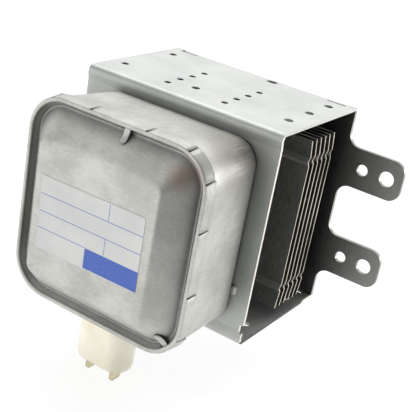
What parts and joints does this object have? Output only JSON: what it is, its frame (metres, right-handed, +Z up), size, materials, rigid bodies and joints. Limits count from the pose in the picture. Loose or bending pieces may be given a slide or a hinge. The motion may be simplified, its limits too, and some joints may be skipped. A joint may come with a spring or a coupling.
{
  "type": "magnetron",
  "caption": "Microwave-oven magnetron: finned vacuum tube and ring magnets in a folded steel yoke, with a mounting plate, antenna, crimped filter box and feed-through capacitor.",
  "frame": {"origin": "centre of the mounting plate's outer face, on the tube's axis", "axes": "+Y along the antenna, out of the mounting face; +Z up, away from the connector blades; +X to the right seen from the filter box"},
  "size_m": [0.1278, 0.1242, 0.0994],
  "materials": {
    "yoke_steel": "zinc-plated sheet, satin with faint rolling streaks",
    "plate_steel": "zinc-plated sheet, satin, dull",
    "fin_aluminium": "plain rolled sheet with bright sheared edges",
    "ferrite": "ground sintered ferrite, matte",
    "anode_copper": "plain drawn copper",
    "pole_iron": "pressed soft iron, matte",
    "shell_steel": "drawn steel, satin",
    "cathode_metal": "sintered refractory metal, matte",
    "alumina": "fired alumina, matte",
    "cap_steel": "drawn steel, bright",
    "gasket_mesh": "knitted wire, tinned",
    "box_steel": "tin-plated drawn sheet with fine draw streaks",
    "cover_steel": "tin-plated pressed sheet, satin",
    "choke_wire": "enamelled copper wire",
    "cream_plastic": "moulded, fine matte",
    "blade_plating": "tinned brass, satin"
  },
  "bodies": {
    "root": {"yoke_frame": "yoke_steel", "mounting_plate": "plate_steel", "cooling_fin_1": "fin_aluminium", "cooling_fin_2": "fin_aluminium", "cooling_fin_3": "fin_aluminium", "cooling_fin_4": "fin_aluminium", "cooling_fin_5": "fin_aluminium", "cooling_fin_6": "fin_aluminium", "filter_side_magnet": "ferrite", "antenna_side_magnet": "ferrite", "choke_core_1": "ferrite", "choke_core_2": "ferrite", "anode_cylinder": "anode_copper", "anode_vane_1": "anode_copper", "anode_vane_2": "anode_copper", "anode_vane_3": "anode_copper", "anode_vane_4": "anode_copper", "anode_vane_5": "anode_copper", "anode_vane_6": "anode_copper", "anode_vane_7": "anode_copper", "anode_vane_8": "anode_copper", "anode_vane_9": "anode_copper", "anode_vane_10": "anode_copper", "inner_strap_1": "anode_copper", "outer_strap_1": "anode_copper", "inner_strap_2": "anode_copper", "outer_strap_2": "anode_copper", "antenna_lead": "anode_copper", "exhaust_tube": "anode_copper", "antenna_side_pole_piece": "pole_iron", "filter_side_pole_piece": "pole_iron", "antenna_side_shell": "shell_steel", "filter_side_shell": "shell_steel", "filament_terminal_1": "shell_steel", "filament_terminal_2": "shell_steel", "cathode_filament": "cathode_metal", "upper_end_hat": "cathode_metal", "lower_end_hat": "cathode_metal", "centre_lead": "cathode_metal", "side_lead": "cathode_metal", "stem_insulator": "alumina", "antenna_insulator": "alumina", "capacitor_ceramic": "alumina", "antenna_cap": "cap_steel", "rf_gasket": "gasket_mesh", "filter_box": "box_steel", "capacitor_flange": "box_steel", "box_rivets": "box_steel", "capacitor_rivets": "box_steel", "filter_box_cover": "cover_steel", "choke_coil_1": "choke_wire", "choke_coil_2": "choke_wire", "capacitor_housing": "cream_plastic", "capacitor_inner_case": "cream_plastic", "terminal_blade_1": "blade_plating", "terminal_blade_2": "blade_plating"}
  },
  "joints": []
}
